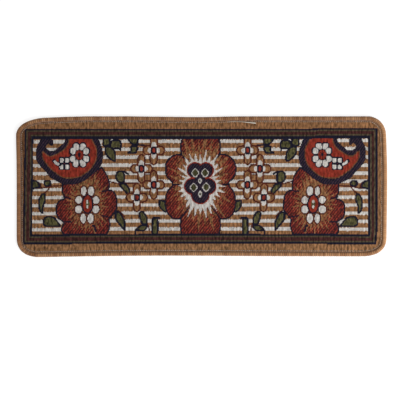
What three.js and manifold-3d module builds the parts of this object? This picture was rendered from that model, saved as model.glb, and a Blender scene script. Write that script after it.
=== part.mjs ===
// Anti slip stair tread mat: a jacquard woven sheet with a striped, flowered design,
// overlocked round its edge, stitched once inside that, and backed with a grippy sheet.
// Millimetres, +Z up. The origin is at the middle of the underside.
import * as THREE from 'three';
import { mergeVertices } from 'three/addons/utils/BufferGeometryUtils.js';
import Module from 'manifold-3d';

const wasm = await Module();
wasm.setup();

// The mat over its bound edge
const matLength = 650;
const matWidth = 247;

// Each corner is a flattened ellipse: its reach along the mat, its reach across, and how square it is
const corners = {
  topLeft: { along: 59, across: 33, squareness: 2.3 },
  topRight: { along: 39, across: 39, squareness: 2.45 },
  bottomRight: { along: 48, across: 36, squareness: 2.6 },
  bottomLeft: { along: 42, across: 36, squareness: 2.45 },
};
const cornerSteps = 8;

// How far each side runs in from a straight line, at even steps from its left or lower end
const sags = {
  top: [2.8, 0.5, 1.6, 0.3, 0],
  bottom: [0, 2.1, 2.3, 1.5, 1.3],
  left: [1.1, 1.1, 1.1, 0.8, 0],
  right: [1.1, 0.5, 0, 0.2, 1.6],
};
const longSideSteps = 6;
const shortSideSteps = 4;

// The layers, from the floor up
const backingThickness = 2.0;
const faceThickness = 2.6;
const yarnRise = 0.12;

// The overlocked edge
const bindingReach = 7.8;
const bindingWall = 1.5;
const bindingCrown = 1.8;
const wrapClearance = 0.3;
const backingMargin = 1.2;
const noseSteps = 6;

// The line of stitching inside the bound edge
const seamInset = 9.8;
const seamWidth = 1.0;
const seamHeight = 0.7;
const seamRound = 0.3;
const seamGap = 0.6;

// Plain borders between the mat's edge and the woven frame
const borderLeft = 14.4;
const borderRight = 17;
const borderTop = 22.4;
const borderBottom = 22.8;
const leftLean = 1.3;

// The frame's bands from the outside in, on the long sides and on the short ones
const navyEdge = { long: 3, short: 3 };
const oliveOuter = { long: 2.5, short: 2.5 };
const maroonBand = { long: 5.3, short: 3.6 };
const oliveInner = { long: 2.5, short: 2.3 };
const navyInner = { long: 4.3, short: 3.4 };

// The design is drawn on point paper and woven to fill the field inside the frame
const designEnds = 589;
const designPicks = 166;
const stripeCount = 12;
const motifOutline = 2.2;

const yarns = {
  tan: new THREE.MeshStandardMaterial({ name: 'tan_yarn', color: 0x8c5f3c, roughness: 0.95 }),
  cream: new THREE.MeshStandardMaterial({ name: 'cream_yarn', color: 0xcfc8ba, roughness: 0.95 }),
  navy: new THREE.MeshStandardMaterial({ name: 'navy_yarn', color: 0x1f1f2e, roughness: 0.95 }),
  maroon: new THREE.MeshStandardMaterial({ name: 'maroon_yarn', color: 0x3a1d1c, roughness: 0.95 }),
  olive: new THREE.MeshStandardMaterial({ name: 'olive_yarn', color: 0x4d482a, roughness: 0.95 }),
  red: new THREE.MeshStandardMaterial({ name: 'red_yarn', color: 0x92301f, roughness: 0.95 }),
  darkRed: new THREE.MeshStandardMaterial({ name: 'dark_red_yarn', color: 0x652620, roughness: 0.95 }),
};
for (const yarn of Object.values(yarns)) {
  yarn.flatShading = true;
}
const bindingYarn = new THREE.MeshStandardMaterial({ name: 'binding_yarn', color: 0x93694a, roughness: 0.9 });
const seamYarn = new THREE.MeshStandardMaterial({ name: 'seam_yarn', color: 0x8f8478, roughness: 0.85 });
const backingRubber = new THREE.MeshStandardMaterial({ name: 'rubber', color: 0x3a3834, roughness: 0.8 });

const faceBottom = backingThickness;
const faceTop = faceBottom + faceThickness;
const sheetInset = bindingWall + wrapClearance;
const backingInset = bindingReach + backingMargin;
const patternInset = seamInset + seamWidth / 2 + seamGap;

// One side of the outline, from its first corner's end to the next corner's end, with its sags
function sagPoints(list, steps, from, to, place) {
  const points = list.map((sag, i) => new THREE.Vector2(i / (list.length - 1), sag));
  const curve = new THREE.SplineCurve(points);
  const side = [];
  for (let i = 1; i < steps; i += 1) {
    const share = i / steps;
    side.push(place(from + (to - from) * share, curve.getPoint(share).y));
  }
  return side;
}

// One corner's points, anticlockwise from startAngle
function cornerPoints(corner, signX, signY, sagX, sagY, startAngle) {
  const { along, across, squareness } = corner;
  const points = [];
  for (let i = 0; i <= cornerSteps; i += 1) {
    const angle = startAngle + (i / cornerSteps) * (Math.PI / 2);
    const out = Math.abs(Math.cos(angle)) ** (2 / squareness);
    const up = Math.abs(Math.sin(angle)) ** (2 / squareness);
    points.push(new THREE.Vector2(
      signX * (matLength / 2 - sagX - along * (1 - out)),
      signY * (matWidth / 2 - sagY - across * (1 - up)),
    ));
  }
  return points;
}

// The mat's outline, anticlockwise from the foot of the top right corner
function matOutline() {
  const first = (list) => list[0];
  const last = (list) => list[list.length - 1];
  const { top, bottom, left, right } = sags;
  const { topLeft, topRight, bottomLeft, bottomRight } = corners;
  const halfLength = matLength / 2;
  const halfWidth = matWidth / 2;
  return [
    ...cornerPoints(topRight, 1, 1, last(right), last(top), 0),
    ...sagPoints(top, longSideSteps, -halfLength + topLeft.along, halfLength - topRight.along,
      (x, sag) => new THREE.Vector2(x, halfWidth - sag)).reverse(),
    ...cornerPoints(topLeft, -1, 1, last(left), first(top), Math.PI / 2),
    ...sagPoints(left, shortSideSteps, -halfWidth + bottomLeft.across, halfWidth - topLeft.across,
      (y, sag) => new THREE.Vector2(sag - halfLength, y)).reverse(),
    ...cornerPoints(bottomLeft, -1, -1, first(left), first(bottom), Math.PI),
    ...sagPoints(bottom, longSideSteps, -halfLength + bottomLeft.along, halfLength - bottomRight.along,
      (x, sag) => new THREE.Vector2(x, sag - halfWidth)),
    ...cornerPoints(bottomRight, 1, -1, first(right), last(bottom), 1.5 * Math.PI),
    ...sagPoints(right, shortSideSteps, -halfWidth + bottomRight.across, halfWidth - topRight.across,
      (y, sag) => new THREE.Vector2(halfLength - sag, y)),
  ];
}
const outline = matOutline();

// A closed outline moved inwards by a distance
function movedIn(points, distance) {
  const side = Math.sign(THREE.ShapeUtils.area(points));
  return points.map((point, i) => {
    const before = points[(i + points.length - 1) % points.length];
    const after = points[(i + 1) % points.length];
    const run = after.clone().sub(before).normalize().multiplyScalar(side * distance);
    return new THREE.Vector2(point.x - run.y, point.y + run.x);
  });
}

// A flat sheet of an outline, with or without a hole, between two heights
function sheet(points, bottom, top, hole) {
  const shape = new THREE.Shape(points);
  if (hole) {
    shape.holes.push(new THREE.Path(hole));
  }
  const geometry = new THREE.ExtrudeGeometry(shape, { depth: top - bottom, bevelEnabled: false });
  geometry.translate(0, 0, bottom);
  geometry.deleteAttribute('normal');
  geometry.deleteAttribute('uv');
  return mergeVertices(geometry);
}

// A ring that follows the mat's outline; its section is a closed list of [distance in, height]
function ring(section) {
  const loops = section.map(([distance]) => movedIn(outline, distance));
  const positions = [];
  const faces = [];
  for (let i = 0; i < outline.length; i += 1) {
    const next = (i + 1) % outline.length;
    for (let j = 0; j < section.length; j += 1) {
      const beside = (j + 1) % section.length;
      positions.push(loops[j][i].x, loops[j][i].y, section[j][1]);
      const here = i * section.length + j;
      const across = i * section.length + beside;
      const ahead = next * section.length + j;
      const opposite = next * section.length + beside;
      faces.push(here, ahead, across, across, ahead, opposite);
    }
  }
  const geometry = new THREE.BufferGeometry();
  geometry.setAttribute('position', new THREE.Float32BufferAttribute(positions, 3));
  geometry.setIndex(faces);
  return geometry;
}

// The frame round the design, and the field inside it

const bands = [navyEdge, oliveOuter, maroonBand, oliveInner, navyInner];
const bandYarns = ['navy', 'olive', 'maroon', 'olive', 'navy'];
const frameLong = bands.reduce((sum, band) => sum + band.long, 0);
const frameShort = bands.reduce((sum, band) => sum + band.short, 0);
const fieldLength = matLength - borderLeft - borderRight - 2 * frameShort;
const fieldWidth = matWidth - borderTop - borderBottom - 2 * frameLong;
const frameX = (borderLeft - borderRight) / 2;
const frameY = (borderBottom - borderTop) / 2;

// A point from its distances to the middle of the frame, whose left end leans
function leaned(x, y) {
  const lean = leftLean * Math.max(0, (-2 * x) / fieldLength) * ((2 * y) / fieldWidth);
  return new THREE.Vector2(frameX + x + lean, frameY + y);
}

// A point from an end and a pick of the design, counted from its middle
function place([end, pick]) {
  return leaned((end * fieldLength) / designEnds, (pick * fieldWidth) / designPicks);
}

function rectangle(halfLength, halfWidth) {
  return [
    leaned(-halfLength, -halfWidth),
    leaned(halfLength, -halfWidth),
    leaned(halfLength, halfWidth),
    leaned(-halfLength, halfWidth),
  ];
}

// Heights of the yarns above the plain ground, in steps
const stripeLevel = 1;
const outlineLevel = 2;
const bodyLevel = 3;
const petalLevel = 4;
const heartLevel = 5;
const dotLevel = 6;

const rise = (level) => faceTop + level * yarnRise;
const root = faceBottom + faceThickness / 2;

function frameBands() {
  const solids = [];
  let length = fieldLength / 2 + frameShort;
  let width = fieldWidth / 2 + frameLong;
  bands.forEach((band, i) => {
    const outer = rectangle(length, width);
    length -= band.short;
    width -= band.long;
    const level = bandYarns[i] === 'olive' ? stripeLevel : outlineLevel;
    solids.push({ yarn: bandYarns[i], geometry: sheet(outer, root, rise(level), rectangle(length, width)) });
  });
  return solids;
}

// The motifs, drawn in ends and picks; the right half mirrors the left

const motifs = [];

function weave(points, yarn, level, inwards = 0) {
  const shape = movedIn(points.map(place), inwards);
  motifs.push({ yarn, geometry: sheet(shape, root, rise(level)) });
}

function weavePair(points, yarn, level, inwards = 0) {
  weave(points, yarn, level, inwards);
  weave(points.map(([end, pick]) => [-end, pick]), yarn, level, inwards);
}

// A smooth line through a few points of the design, without its last point
function curve(points, steps) {
  const line = new THREE.SplineCurve(points.map(([end, pick]) => new THREE.Vector2(end, pick)));
  return line.getPoints(steps).slice(0, -1).map((point) => point.toArray());
}

function oval(end, pick, radiusEnds, radiusPicks, sides = 8) {
  const points = [];
  for (let i = 0; i < sides; i += 1) {
    const angle = ((i + 0.5) / sides) * 2 * Math.PI;
    points.push([end + radiusEnds * Math.cos(angle), pick + radiusPicks * Math.sin(angle)]);
  }
  return points;
}

function diamond(end, pick, radiusEnds, radiusPicks) {
  return [
    [end + radiusEnds, pick],
    [end, pick + radiusPicks],
    [end - radiusEnds, pick],
    [end, pick - radiusPicks],
  ];
}

function box(left, right, bottom, top) {
  return [[left, bottom], [right, bottom], [right, top], [left, top]];
}

// A band of even width along a few points of the design
function strand(points, width) {
  const line = points.map(([end, pick]) => new THREE.Vector2(end, pick));
  const sides = [[], []];
  line.forEach((point, i) => {
    const run = line[Math.min(i + 1, line.length - 1)].clone().sub(line[Math.max(i - 1, 0)]);
    run.normalize().multiplyScalar(width / 2);
    sides[0].push([point.x - run.y, point.y + run.x]);
    sides[1].unshift([point.x + run.y, point.y - run.x]);
  });
  return [...sides[0], ...sides[1]];
}

function stripes() {
  const pitch = 13.95;
  const depth = 5.6;
  const highest = 79;
  for (let i = 0; i < stripeCount; i += 1) {
    const middle = highest - i * pitch;
    weave(box(-designEnds / 2, designEnds / 2, middle - depth / 2, middle + depth / 2), 'cream', stripeLevel);
  }
}

const fieldPick = designPicks / 2;

function paisleys() {
  weavePair([
    ...curve([[-281, fieldPick], [-287, 66], [-285, 43], [-268, 22], [-240, 5]], 9),
    ...curve([[-240, 5], [-210, 8], [-190, 22], [-172, 42], [-172, 62], [-180, fieldPick]], 10),
    [-180, fieldPick],
    ...curve([[-239, fieldPick], [-250, 70], [-262, 64.5], [-272, 65.5]], 4),
    [-272, 65.5],
    [-260, 71.5],
    [-263, fieldPick],
  ], 'navy', outlineLevel);
  weavePair([
    ...curve([[-275, 59], [-274, 45], [-255, 25], [-225, 16.5]], 7),
    ...curve([[-225, 16.5], [-200, 26], [-183, 50], [-190, fieldPick]], 7),
    [-190, fieldPick],
    ...curve([[-229, fieldPick], [-238, 65], [-252, 56], [-263, 52]], 4),
    [-263, 52],
  ], 'red', bodyLevel);
}

function ringFlowers() {
  const end = -212.5;
  const pick = 55;
  const petals = [[5, 16], [13.5, 7.2]];
  weavePair(oval(end, pick, 19.5, 23, 12), 'navy', petalLevel);
  for (const [x, y] of petals) {
    for (const side of [-1, 1]) {
      weavePair(oval(end + side * x, pick + y, 4, 5, 6), 'cream', heartLevel);
      weavePair(oval(end + side * x, pick - y, 4, 5, 6), 'cream', heartLevel);
    }
  }
  weavePair(oval(end, pick, 6.5, 8.3, 10), 'red', heartLevel);
}

function paisleySquares() {
  const end = -239;
  const pick = 40.5;
  for (const x of [-5, 5]) {
    for (const y of [-6, 6]) {
      weavePair(box(end + x - 3.4, end + x + 3.4, pick + y - 4.4, pick + y + 4.4), 'cream', petalLevel);
    }
  }
  weavePair(strand([[-257, 42], [-251, 39]], 4), 'cream', petalLevel);
}

function sideFlowers() {
  const lobes = [
    ...curve([[-242, 2], [-243, -9], [-238, -17]], 3),
    [-231, -19],
    ...curve([[-238, -17.5], [-252, -30], [-252, -50], [-241, -62]], 7),
    [-230, -62.5],
    ...curve([[-240, -66], [-241, -76], [-236, -fieldPick]], 3),
    [-236, -fieldPick],
    ...curve([[-163, -fieldPick], [-157.5, -68], [-158, -58]], 3),
    [-170, -52],
    ...curve([[-155, -54], [-146, -38], [-148, -18], [-158, -7]], 7),
    [-172, -10],
    ...curve([[-160, -4], [-161, 14], [-172, 32]], 4),
    [-172, 32],
    [-190, 22],
    [-210, 8],
    [-235, 4],
  ];
  weavePair(lobes, 'navy', outlineLevel);
  weavePair(lobes, 'darkRed', bodyLevel, motifOutline);
  const end = -198.5;
  const pick = -32;
  weavePair(oval(end, pick, 27, 38, 12), 'tan', petalLevel);
  const petals = [[6.2, 24, 4.3, 8], [15.2, 8.8, 6.3, 7]];
  for (const [x, y, radiusEnds, radiusPicks] of petals) {
    for (const side of [-1, 1]) {
      weavePair(oval(end + side * x, pick + y, radiusEnds, radiusPicks), 'cream', heartLevel);
      weavePair(oval(end + side * x, pick - y, radiusEnds, radiusPicks), 'cream', heartLevel);
    }
  }
  weavePair(oval(end, pick, 10.5, 17, 10), 'navy', dotLevel);
  weavePair(oval(end, pick, 8, 14.5), 'red', dotLevel + 1);
  weavePair(diamond(end, pick, 3, 9), 'olive', dotLevel + 2);
}

function centreFlower() {
  const left = [
    ...curve([[-33, fieldPick], [-35, 70], [-33, 57]], 3),
    [-24, 48],
    ...curve([[-33, 57], [-52, 54], [-62, 33], [-50, 8]], 8),
    [-42, 4],
    ...curve([[-50, 3], [-62, -18], [-57, -46], [-37, -56]], 8),
    [-23, -43],
    ...curve([[-36, -57], [-37, -70], [-31, -fieldPick]], 3),
    [-31, -fieldPick],
  ];
  const lobes = [...left, ...left.map(([end, pick]) => [-end, pick]).reverse()];
  weave(lobes, 'navy', outlineLevel);
  weave(lobes, 'darkRed', bodyLevel, motifOutline);
  const rays = 14;
  const halo = [];
  for (let i = 0; i < 2 * rays; i += 1) {
    const reach = i % 2 ? 8 : 18;
    const angle = (i / rays) * Math.PI;
    halo.push([(28 + reach) * Math.cos(angle), 6 + (37 + reach) * Math.sin(angle)]);
  }
  weave(halo, 'cream', petalLevel);
  const pansy = [[-9, 27, 13], [9, 27, 13], [-13, 0, 13.5], [13, 0, 13.5], [0, -14, 15]];
  for (const [end, pick, radius] of pansy) {
    weave(oval(end, pick, radius + 2, radius + 2, 10), 'red', heartLevel);
    weave(oval(end, pick, radius, radius, 10), 'navy', dotLevel);
  }
  for (const [end, pick] of [[-9, 24], [9, 24], [-11, -1.5], [11, -1.5]]) {
    weave(diamond(end, pick, 7, 8.5), 'cream', dotLevel + 1);
    weave(diamond(end, pick, 4.2, 5.5), 'olive', dotLevel + 2);
  }
  weave(diamond(0, 10, 3.5, 5.5), 'cream', dotLevel + 1);
  weave(diamond(0, -12.5, 3.5, 6), 'cream', dotLevel + 1);
}

function smallFlowers() {
  for (const [end, pick] of [[-81.6, 63.8], [-103.5, 30.7], [-81.6, 3], [-111.4, -19.4]]) {
    for (const side of [-1, 1]) {
      const tall = oval(end, pick + side * 15, 5.5, 9.5);
      const wide = oval(end + side * 11.5, pick, 6, 6.5);
      weavePair(tall, 'maroon', outlineLevel);
      weavePair(oval(end, pick + side * 15, 3.6, 7.4, 6), 'tan', bodyLevel);
      weavePair(wide, 'maroon', outlineLevel);
      weavePair(oval(end + side * 11.5, pick, 4.2, 4.4, 6), 'tan', bodyLevel);
    }
    weavePair(box(end - 5, end + 5, pick - 5.5, pick + 5.5), 'navy', petalLevel);
    weavePair(oval(end, pick, 2.3, 4, 6), 'red', heartLevel);
  }
}

function leaves() {
  const outlines = [
    [[-294, 11], [-288, 9], [-281, 0], [-286, -4], [-294, -5]],
    [[-274, 3], [-270, 10], [-263, 9], [-262, 2], [-268, -1]],
    [[-276, -13], [-285, -21], [-286, -33], [-277, -47], [-273, -30]],
    [[-276, -66], [-272, -56], [-260, -52], [-250, -57], [-242, -67], [-256, -70]],
    [[-170, 71], [-162, 71], [-161, fieldPick], [-170, fieldPick]],
    [[-158, 68], [-148, 67], [-140, 61], [-141, 73], [-148, 80], [-157, 79]],
    [[-166, 70], [-167, 61], [-160, 51], [-150, 45], [-151, 62], [-156, 69]],
    [[-125, 73], [-117, 72], [-110, 76], [-112, 85], [-124, 84]],
    [[-110, 72], [-124, 68], [-127, 57], [-118, 57], [-110, 63]],
    [[-147, 17], [-141, 7], [-134, 12], [-131, 24], [-143, 27]],
    [[-143, 4], [-128, 2], [-124, -12], [-132, -12], [-140, -5]],
    [[-148, -43], [-140, -52], [-133, -63], [-132, -77], [-142, -68], [-149, -54]],
    [[-105, -45], [-97, -47], [-92, -60], [-95, -67], [-103, -66], [-107, -56]],
    [[-111, -73], [-101, -68], [-91, -68], [-92, -76], [-110, -78]],
    [[-85, -54], [-75, -54], [-74, -fieldPick], [-86, -fieldPick]],
    [[-73, -23], [-72, -36], [-66, -42], [-59, -41], [-59, -29]],
  ];
  for (const leaf of outlines) {
    weavePair(leaf, 'navy', outlineLevel);
    weavePair(leaf, 'olive', bodyLevel, motifOutline);
  }
}

function stems() {
  const thickness = 2;
  const lines = [
    [[-294, -6], [-278, -1], [-262, 0], [-243, 3]],
    [[-268, -2], [-276, -14]],
    [[-163, fieldPick], [-160, 74], [-167, 68]],
    [[-114, 71], [-92, 71]],
    [[-160, 8], [-145, 6], [-118, 5]],
    [[-92, -72], [-84, -73]],
  ];
  for (const line of lines) {
    weavePair(strand(line, thickness), 'maroon', outlineLevel);
  }
}

// Sub-parts

// The yarns stand at different heights where the design floats them, so the face is one solid in steps
function wovenFace() {
  const ids = {};
  const names = Object.keys(yarns);
  for (const name of names) {
    ids[name] = wasm.Manifold.reserveIDs(1);
  }
  const solid = (geometry, yarn) => {
    const triVerts = new Uint32Array(geometry.index.array);
    return new wasm.Manifold(new wasm.Mesh({
      numProp: 3,
      vertProperties: new Float32Array(geometry.attributes.position.array),
      triVerts,
      runIndex: new Uint32Array([0, triVerts.length]),
      runOriginalID: new Uint32Array([ids[yarn]]),
    }));
  };
  const union = (parts) => wasm.Manifold.union(parts.map(({ geometry, yarn }) => solid(geometry, yarn)));
  for (const draw of [stripes, paisleys, ringFlowers, paisleySquares, sideFlowers, centreFlower,
    smallFlowers, leaves, stems]) {
    draw();
  }
  const cutterTop = rise(2 * dotLevel);
  const field = solid(sheet(rectangle(fieldLength / 2, fieldWidth / 2), faceBottom, cutterTop), 'tan');
  const inSeam = solid(sheet(movedIn(outline, patternInset), faceBottom, cutterTop), 'tan');
  const ground = solid(sheet(movedIn(outline, sheetInset), faceBottom, faceTop), 'tan');
  const relief = union(motifs).intersect(field).add(union(frameBands())).intersect(inSeam);
  const mesh = ground.add(relief).getMesh();
  const geometry = new THREE.BufferGeometry();
  geometry.setAttribute('position', new THREE.BufferAttribute(mesh.vertProperties, 3));
  geometry.setIndex(new THREE.BufferAttribute(mesh.triVerts, 1));
  for (let run = 0; run < mesh.runOriginalID.length; run += 1) {
    const yarn = names.findIndex((name) => ids[name] === mesh.runOriginalID[run]);
    geometry.addGroup(mesh.runIndex[run], mesh.runIndex[run + 1] - mesh.runIndex[run], yarn);
  }
  return new THREE.Mesh(geometry, Object.values(yarns));
}

// Overlock yarn wrapped over the edge of the woven sheet: a C in section, open inwards
function edgeBinding() {
  const top = faceTop + wrapClearance;
  const under = faceBottom - wrapClearance;
  const height = top + bindingCrown;
  const nose = bindingReach / 2;
  const section = [];
  for (let i = 0; i <= noseSteps; i += 1) {
    const turn = (i / noseSteps) * Math.PI;
    section.push([nose * (1 - Math.sin(turn)), (height / 2) * (1 - Math.cos(turn))]);
  }
  section.push([bindingReach, top], [bindingWall, top], [bindingWall, under], [bindingReach, under]);
  return new THREE.Mesh(ring(section), bindingYarn);
}

// The line of stitching that holds the turned edge down
function seamThread() {
  const low = seamInset - seamWidth / 2;
  const high = seamInset + seamWidth / 2;
  const crown = faceTop + seamHeight;
  return new THREE.Mesh(ring([
    [low, faceTop],
    [low + seamRound, crown],
    [high - seamRound, crown],
    [high, faceTop],
  ]), seamYarn);
}

function antiSlipBacking() {
  return new THREE.Mesh(sheet(movedIn(outline, backingInset), 0, backingThickness), backingRubber);
}

const mat = new THREE.Group();
const subParts = {
  woven_face: wovenFace(),
  edge_binding: edgeBinding(),
  seam_thread: seamThread(),
  anti_slip_backing: antiSlipBacking(),
};
for (const [name, mesh] of Object.entries(subParts)) {
  mesh.name = name;
  mat.add(mesh);
}

export default mat;
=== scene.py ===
"""Dresses the anti slip stair tread mat: a jacquard woven face with an overlocked edge and a grippy back."""
import math

import bmesh
import bpy
import numpy as np
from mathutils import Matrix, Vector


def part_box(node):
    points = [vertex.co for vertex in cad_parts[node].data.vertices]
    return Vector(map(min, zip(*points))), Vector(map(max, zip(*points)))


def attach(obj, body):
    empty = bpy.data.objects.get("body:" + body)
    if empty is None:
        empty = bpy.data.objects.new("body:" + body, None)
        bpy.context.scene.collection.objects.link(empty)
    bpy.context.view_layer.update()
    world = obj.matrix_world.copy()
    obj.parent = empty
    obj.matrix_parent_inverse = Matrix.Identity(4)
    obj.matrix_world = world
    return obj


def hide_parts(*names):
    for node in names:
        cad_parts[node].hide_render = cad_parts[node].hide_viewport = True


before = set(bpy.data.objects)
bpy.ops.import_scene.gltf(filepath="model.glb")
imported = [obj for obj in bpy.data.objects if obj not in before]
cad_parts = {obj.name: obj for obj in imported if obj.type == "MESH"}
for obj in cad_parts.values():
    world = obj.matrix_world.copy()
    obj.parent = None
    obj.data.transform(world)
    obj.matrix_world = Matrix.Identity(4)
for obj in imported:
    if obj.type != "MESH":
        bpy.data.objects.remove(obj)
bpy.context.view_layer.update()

# The mat lies on a white floor, lit from within so that it shows no shadow, under soft light from the lower
# right. It is seen from straight above, by a camera far off with a long lens. The floor lies a hair below the
# mat, so that the two don't share a surface.
MM = 0.001
PHOTO_PIXELS = 400
PIXEL_SIZE = 1.749 * MM
MAT_MIDDLE_PIXEL = (201.6, 186.7)
FLOOR_GAP = 0.3 * MM
LENS = 150.0
SENSOR = 36.0


def linear_colour(code):
    """The linear colour of an sRGB hex value, with full alpha."""
    parts = [int(code[i:i + 2], 16) / 255 for i in (0, 2, 4)]
    return [p / 12.92 if p <= 0.04045 else ((p + 0.055) / 1.055) ** 2.4 for p in parts] + [1.0]


def new_material(name):
    """A new material, its node tree, and the one shader in it."""
    material = bpy.data.materials.new(name)
    material.use_nodes = True
    tree = material.node_tree
    return material, tree, tree.nodes["Principled BSDF"]


bpy.ops.object.select_all(action="DESELECT")
bpy.ops.mesh.primitive_plane_add(size=6.0, location=(0, 0, -FLOOR_GAP))
floor = bpy.context.object
floor.name = "studio_floor"
floor_paint, tree, shader = new_material("lit_white_floor")
shader.inputs["Base Color"].default_value = linear_colour("959595")
shader.inputs["Roughness"].default_value = 0.9
shader.inputs["Emission Color"].default_value = linear_colour("FFFFFF")
shader.inputs["Emission Strength"].default_value = 0.78
floor.data.materials.append(floor_paint)

world = bpy.data.worlds.new("soft_white_room")
bpy.context.scene.world = world
world.use_nodes = True
world.node_tree.nodes["Background"].inputs["Color"].default_value = linear_colour("FFFFFF")
world.node_tree.nodes["Background"].inputs["Strength"].default_value = 0.50

bpy.ops.object.light_add(type="AREA", location=(1.5, -1.3, 1.5))
window_light = bpy.context.object
window_light.name = "soft_window"
window_light.data.size = 1.2
window_light.data.energy = 58
window_light.rotation_euler = (math.radians(42), math.radians(40), 0)

bpy.ops.object.light_add(type="AREA", location=(1.0, -0.15, 0.16))
low_light = bpy.context.object
low_light.name = "low_reflector"
low_light.data.size = 0.4
low_light.data.energy = 3.2
low_light.rotation_euler = (0, math.radians(82), 0)

bpy.context.scene.view_settings.view_transform = "Standard"

bpy.ops.object.camera_add()
camera = bpy.context.object
middle = PHOTO_PIXELS / 2
camera.location = (
    (middle - MAT_MIDDLE_PIXEL[0]) * PIXEL_SIZE,
    (MAT_MIDDLE_PIXEL[1] - middle) * PIXEL_SIZE,
    PHOTO_PIXELS * PIXEL_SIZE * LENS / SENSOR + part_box("woven_face")[1][2],
)
camera.data.lens = LENS
camera.data.sensor_width = SENSOR
camera.data.clip_end = 20
bpy.context.scene.camera = camera


# The backing is a thin sheet of dark latex foam under the face, there to grip the tread. It is cast flat
# with a pebbled skin, matt and a little dusty. The pebbles are drawn coarser than the real ones, to show.
PEBBLE = 3.2 * MM
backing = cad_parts["anti_slip_backing"]


def socket_named(sockets, name):
    """The socket in use under a name, or under a number."""
    if isinstance(name, int):
        return sockets[name]
    return next(socket for socket in sockets if socket.name == name and socket.enabled)


def add_node(tree, kind, output, inputs, **settings):
    """Adds a node with its settings, fed by values or by other nodes' sockets, and gives back one output."""
    node = tree.nodes.new(kind)
    for name, value in settings.items():
        setattr(node, name, value)
    for name, value in inputs.items():
        if isinstance(value, bpy.types.NodeSocket):
            tree.links.new(value, socket_named(node.inputs, name))
        else:
            socket_named(node.inputs, name).default_value = value
    return socket_named(node.outputs, output)


def blend(tree, factor, first, second):
    """The first colour where the factor is 0, and the second where it is 1. Hex codes serve as colours."""
    first, second = (linear_colour(c) if isinstance(c, str) else c for c in (first, second))
    return add_node(tree, "ShaderNodeMix", "Result", {"Factor": factor, "A": first, "B": second},
                    data_type="RGBA")


def rescale(tree, value, low, high, start=0.3, end=0.7):
    """A value moved from one range to another. Most of a noise lies between 0.3 and 0.7."""
    ranges = {"From Min": start, "From Max": end, "To Min": low, "To Max": high}
    return add_node(tree, "ShaderNodeMapRange", "Result", {"Value": value, **ranges})


def shaded(tree, colour, amount):
    """A colour made darker or lighter by an amount round 1."""
    return add_node(tree, "ShaderNodeVectorMath", "Vector", {0: colour, "Scale": amount}, operation="SCALE")


def bumped(tree, height, strength, distance):
    """A normal that follows a height."""
    return add_node(tree, "ShaderNodeBump", "Normal",
                    {"Height": height, "Strength": strength, "Distance": distance})


def joined(tree, operation, first, second):
    """Two values, added or multiplied."""
    return add_node(tree, "ShaderNodeMath", "Value", {0: first, 1: second}, operation=operation)


latex, tree, shader = new_material("cast_latex_foam")
place = add_node(tree, "ShaderNodeTexCoord", "Object", {})
pebbles = add_node(tree, "ShaderNodeTexVoronoi", "Distance", {"Vector": place, "Scale": 1 / PEBBLE})
dust = add_node(tree, "ShaderNodeTexNoise", "Fac", {"Vector": place, "Scale": 45, "Detail": 5})
skin = blend(tree, dust, "33312D", "504C44")
# The pebbles are painted lighter in their middles and darker at their edges: painted shade between them.
pebbled = shaded(tree, skin, rescale(tree, pebbles, 1.2, 0.55, start=0))
dents = bumped(tree, pebbles, 0.8, 0.5 * MM)
dents.node.invert = True
tree.links.new(pebbled, shader.inputs["Base Color"])
tree.links.new(dents, shader.inputs["Normal"])
shader.inputs["Roughness"].default_value = 0.82
backing.data.materials.clear()
backing.data.materials.append(latex)


# The face is one cloth, woven on a jacquard loom from dyed wool and cotton yarn with ribs across the tread.
# Its pattern is in the yarn itself: bands, stripes, paisleys, flowers and leaves, raised a little over the
# ground. It is cut to the mat's shape, and its raw edge lies inside the edge stitching.
CELL_ALONG = 1.32
CELL_ACROSS = 1.28
CELLS_ALONG = 489
CELLS_ACROSS = 190
EDGE_INSET = 1.9
YARN_RISE = 0.12
RIB_PITCH = 6.1

# Each yarn has a colour, and a share of how strongly the ribs show in it.
YARNS = {
    "tan": ("785437", 1.0),
    "tan_dark": ("5C3B26", 1.0),
    # The shaded and lit tans are the border's tan with painted shade at the left end and painted light at the
    # right and below.
    "tan_shaded": ("604029", 1.0),
    "tan_lit": ("7B583B", 1.0),
    "cream": ("B0ABA6", 0.5),
    "navy": ("131220", 0.7),
    "plum": ("38262F", 0.7),
    "maroon": ("391E1C", 1.0),
    "olive": ("4C482D", 1.0),
    "olive_band": ("413829", 1.0),
    "olive_dark": ("393722", 1.0),
    "red": ("76281C", 0.8),
    "red_deep": ("72291F", 0.8),
    "wine": ("3A1718", 0.8),
    "orange": ("7D432B", 0.8),
    "brown": ("431B14", 0.8),
}
YARN_NAMES = list(YARNS)

# The design is drawn stitch by stitch, one yarn to a cell of the mesh, in millimetres from the middle of its
# field. The real cloth isn't quite square: its left side leans, its lower side bows, its upper corners are
# pulled out, its lower right corner is pulled in, and its middle sags a little. None of that moves a place
# by more than the greatest warp.
FIELD_LENGTH = 589.0
FIELD_WIDTH = 166.6
FIELD_MIDDLE = (-1.73, 0.54)
LEFT_LEAN = 1.3
MOST_WARP = 3
cell_column, cell_row = np.meshgrid(np.arange(CELLS_ALONG), np.arange(CELLS_ACROSS))
across = (cell_row + 0.5 - CELLS_ACROSS / 2) * CELL_ACROSS - FIELD_MIDDLE[1]
along = (cell_column + 0.5 - CELLS_ALONG / 2) * CELL_ALONG - FIELD_MIDDLE[0]
lean = 1 - 4 * LEFT_LEAN * across / (FIELD_LENGTH * FIELD_WIDTH)
along = np.where(along < 0, along / lean, along + 1.7 * np.clip(-across / 20 - 4, 0, 1))
upper = np.clip(across / 40, 0, 1)
lower = np.clip(-across / 40, 0, 1)
pulled = np.interp(along, [-292, -270, -140, -60, 60, 140, 270, 292], [0, -0.8, -0.8, 0, 0, 0.9, 0.9, 0])
along = along - upper * pulled
pulled = np.interp(along, [0, 60, 80, 140, 270, 292], [0, 0.6, 1.6, 1.6, -0.5, 0])
along = along + lower * pulled
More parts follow.
